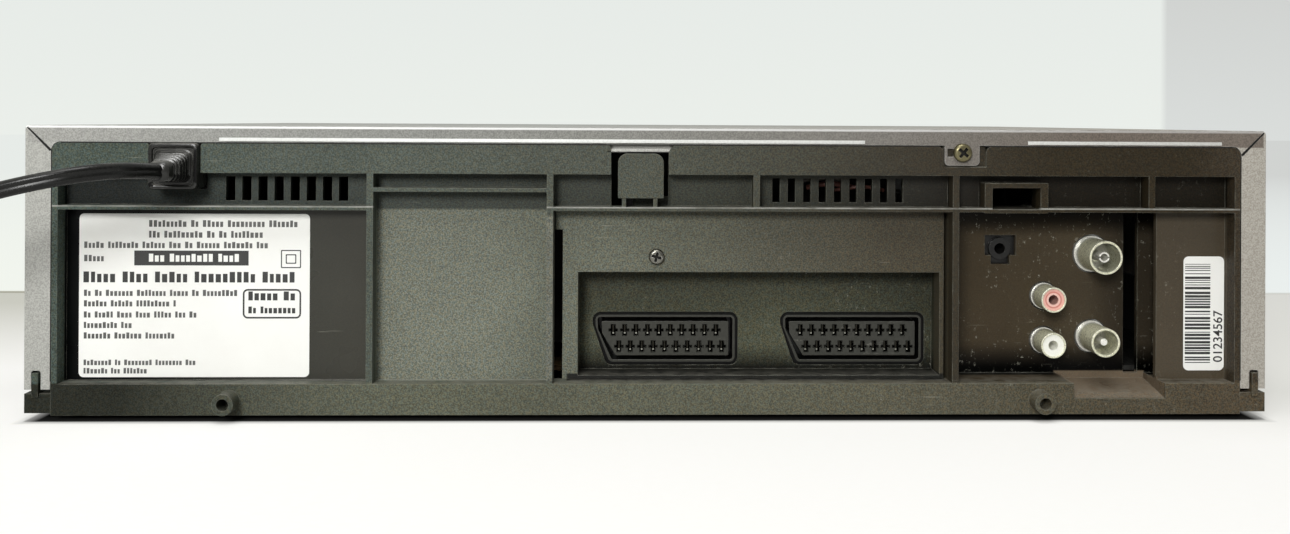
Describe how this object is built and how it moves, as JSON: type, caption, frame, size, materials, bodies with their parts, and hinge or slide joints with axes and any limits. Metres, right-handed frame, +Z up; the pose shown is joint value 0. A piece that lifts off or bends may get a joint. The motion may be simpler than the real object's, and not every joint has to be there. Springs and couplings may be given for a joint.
{
  "type": "vhs video cassette recorder",
  "caption": "Flat video cassette recorder with a folded steel cover, moulded rear panel with sockets and vents, front-loading door, working tape deck and a mains lead.",
  "frame": {"origin": "under the middle of the case, on the plane that its feet stand on; the lead isn't counted", "axes": "+X to the right of someone facing the front, +Y from the front towards the rear connectors, +Z up"},
  "size_m": [0.5525, 0.335, 0.094],
  "materials": {
    "cover_paint": "fine speckled powder coat, satin",
    "panel_plastic": "moulded with a fine spark texture",
    "bezel_plastic": "satin moulded",
    "tray_plastic": "moulded",
    "socket_plastic": "moulded, slightly glossy",
    "key_plastic": "polished",
    "record_red": "polished",
    "window_plastic": "smoked clear plastic",
    "display_glass": "display tube glass with its filter, unlit",
    "zinc_steel": "zinc-plated sheet",
    "turned_steel": "turned and polished",
    "nickel": "nickel plated",
    "yellow_zinc": "yellow passivated zinc",
    "drum_metal": "turned",
    "cast_metal": "extruded, dull",
    "contact_metal": "plated spring contacts",
    "gear_plastic": "natural acetal",
    "arm_plastic": "moulded",
    "board_laminate": "paper laminate board with its parts",
    "coil_body": "laminated core and taped windings",
    "capacitor_sleeve": "shrunk sleeve",
    "red_plastic": "moulded insulator",
    "white_plastic": "moulded insulator",
    "rubber": "matt",
    "cord_pvc": "smooth flexible sheath, slightly glossy",
    "gloss_black": "moulded"
  },
  "bodies": {
    "chassis": {"aerial_in_socket": "nickel", "aerial_out_socket": "nickel", "bottom_cover": "zinc_steel", "capacitors": "capacitor_sleeve", "capstan_motor": "zinc_steel", "chassis_tray": "tray_plastic", "cord_coil": "cord_pvc", "cover_screw": "yellow_zinc", "deck_plate": "zinc_steel", "display_module": "display_glass", "display_window": "window_plastic", "door_spring": "turned_steel", "drive_belt": "rubber", "drum_lower": "drum_metal", "feet": "rubber", "front_board": "board_laminate", "front_panel": "bezel_plastic", "heat_sink": "cast_metal", "housing_left": "zinc_steel", "housing_right": "zinc_steel", "jack_block": "socket_plastic", "loading_motor": "zinc_steel", "main_board": "board_laminate", "mains_cord": "cord_pvc", "mains_plug": "gloss_black", "phono_insert_red": "red_plastic", "phono_insert_white": "white_plastic", "phono_shells": "nickel", "plate_screw": "nickel", "rear_panel": "panel_plastic", "scart_contacts": "contact_metal", "scart_socket_left": "socket_plastic", "scart_socket_right": "socket_plastic", "socket_plate": "panel_plastic", "strain_relief": "rubber", "tape_heads": "turned_steel", "top_cover": "cover_paint", "transformer": "coil_body", "tuner_module": "zinc_steel"},
    "door": {"cassette_door": "bezel_plastic"},
    "carriage": {"holder_carriage": "gear_plastic"},
    "holder": {"cassette_holder": "zinc_steel"},
    "upper_drum": {"drum_upper": "drum_metal"},
    "supply_table": {"supply_reel": "arm_plastic"},
    "take_up_table": {"take_up_reel": "arm_plastic"},
    "capstan_shaft": {"capstan": "turned_steel"},
    "clutch": {"clutch_gear": "gear_plastic"},
    "pinch_lever": {"pinch_arm": "zinc_steel"},
    "pinch_wheel": {"pinch_roller": "rubber"},
    "guide_left_base": {"guide_left": "arm_plastic"},
    "guide_right_base": {"guide_right": "arm_plastic"},
    "mode_cam": {"cam_gear": "gear_plastic"},
    "tension_lever": {"tension_arm": "zinc_steel"},
    "power_key": {"power_button": "key_plastic"},
    "eject_key": {"eject_button": "key_plastic"},
    "rewind_key": {"rewind_button": "key_plastic"},
    "play_key": {"play_button": "key_plastic"},
    "forward_key": {"forward_button": "key_plastic"},
    "stop_key": {"stop_button": "key_plastic"},
    "record_key": {"record_button": "record_red"}
  },
  "joints": [
    {"name": "door_swing", "type": "hinge", "parent": "chassis", "child": "door", "pos_m": [-0.03, -0.1417, 0.0869], "axis": [1, 0, 0], "range_deg": [0, 80], "stiffness_Nm_per_rad": 0.004, "springref_deg": -17.19},
    {"name": "holder_slide", "type": "slide", "parent": "chassis", "child": "carriage", "axis": [0, 1, 0], "range_m": [0, 0.062]},
    {"name": "holder_lower", "type": "slide", "parent": "carriage", "child": "holder", "axis": [0, 0, -1], "range_m": [0, 0.0274]},
    {"name": "drum_spin", "type": "hinge", "parent": "chassis", "child": "upper_drum", "pos_m": [-0.03, 0.05, 0.0312], "axis": [0, -0.0872, 0.9962], "continuous": true},
    {"name": "supply_spin", "type": "hinge", "parent": "chassis", "child": "supply_table", "pos_m": [-0.0756, -0.045, 0.0272], "axis": [0, 0, 1], "continuous": true},
    {"name": "take_up_spin", "type": "hinge", "parent": "chassis", "child": "take_up_table", "pos_m": [0.0156, -0.045, 0.0272], "axis": [0, 0, 1], "continuous": true},
    {"name": "capstan_spin", "type": "hinge", "parent": "chassis", "child": "capstan_shaft", "pos_m": [0.024, 0.02, 0.0272], "axis": [0, 0, 1], "continuous": true},
    {"name": "clutch_spin", "type": "hinge", "parent": "chassis", "child": "clutch", "pos_m": [-0.03, -0.028, 0.0272], "axis": [0, 0, 1], "continuous": true},
    {"name": "pinch_arm_swing", "type": "hinge", "parent": "chassis", "child": "pinch_lever", "pos_m": [0.052, 0.03, 0.0272], "axis": [0, 0, 1], "range_deg": [0, 35]},
    {"name": "pinch_roller_spin", "type": "hinge", "parent": "pinch_lever", "child": "pinch_wheel", "pos_m": [0.03168, 0.03447, 0.0272], "axis": [0, 0, 1], "continuous": true},
    {"name": "cam_turn", "type": "hinge", "parent": "chassis", "child": "mode_cam", "pos_m": [-0.114, 0.066, 0.0272], "axis": [0, 0, 1], "range_deg": [0, 270]},
    {"name": "guide_left_slide", "type": "slide", "parent": "chassis", "child": "guide_left_base", "axis": [-0.207, 0.9783, 0], "range_m": [0, 0.05315]},
    {"name": "guide_right_slide", "type": "slide", "parent": "chassis", "child": "guide_right_base", "axis": [0.207, 0.9783, 0], "range_m": [0, 0.05315]},
    {"name": "tension_arm_swing", "type": "hinge", "parent": "chassis", "child": "tension_lever", "pos_m": [-0.11, 0.018, 0.0272], "axis": [0, 0, 1], "range_deg": [-20, 0], "stiffness_Nm_per_rad": 0.01, "springref_deg": 5.73},
    {"name": "power_key_press", "type": "slide", "parent": "chassis", "child": "power_key", "axis": [0, 1, 0], "range_m": [0, 0.0008], "stiffness_N_per_m": 400, "springref_m": -0.001},
    {"name": "eject_key_press", "type": "slide", "parent": "chassis", "child": "eject_key", "axis": [0, 1, 0], "range_m": [0, 0.0008], "stiffness_N_per_m": 400, "springref_m": -0.001},
    {"name": "rewind_key_press", "type": "slide", "parent": "chassis", "child": "rewind_key", "axis": [0, 1, 0], "range_m": [0, 0.0008], "stiffness_N_per_m": 400, "springref_m": -0.001},
    {"name": "play_key_press", "type": "slide", "parent": "chassis", "child": "play_key", "axis": [0, 1, 0], "range_m": [0, 0.0008], "stiffness_N_per_m": 400, "springref_m": -0.001},
    {"name": "forward_key_press", "type": "slide", "parent": "chassis", "child": "forward_key", "axis": [0, 1, 0], "range_m": [0, 0.0008], "stiffness_N_per_m": 400, "springref_m": -0.001},
    {"name": "stop_key_press", "type": "slide", "parent": "chassis", "child": "stop_key", "axis": [0, 1, 0], "range_m": [0, 0.0008], "stiffness_N_per_m": 400, "springref_m": -0.001},
    {"name": "record_key_press", "type": "slide", "parent": "chassis", "child": "record_key", "axis": [0, 1, 0], "range_m": [0, 0.0008], "stiffness_N_per_m": 400, "springref_m": -0.001}
  ],
  "couplings": [
    {"joint": "guide_left_slide", "follows": "cam_turn", "m_per_rad": 0.011278},
    {"joint": "guide_right_slide", "follows": "cam_turn", "m_per_rad": 0.011278},
    {"joint": "pinch_arm_swing", "follows": "cam_turn", "ratio": 0.1296},
    {"joint": "clutch_spin", "follows": "capstan_spin", "ratio": 0.685}
  ]
}
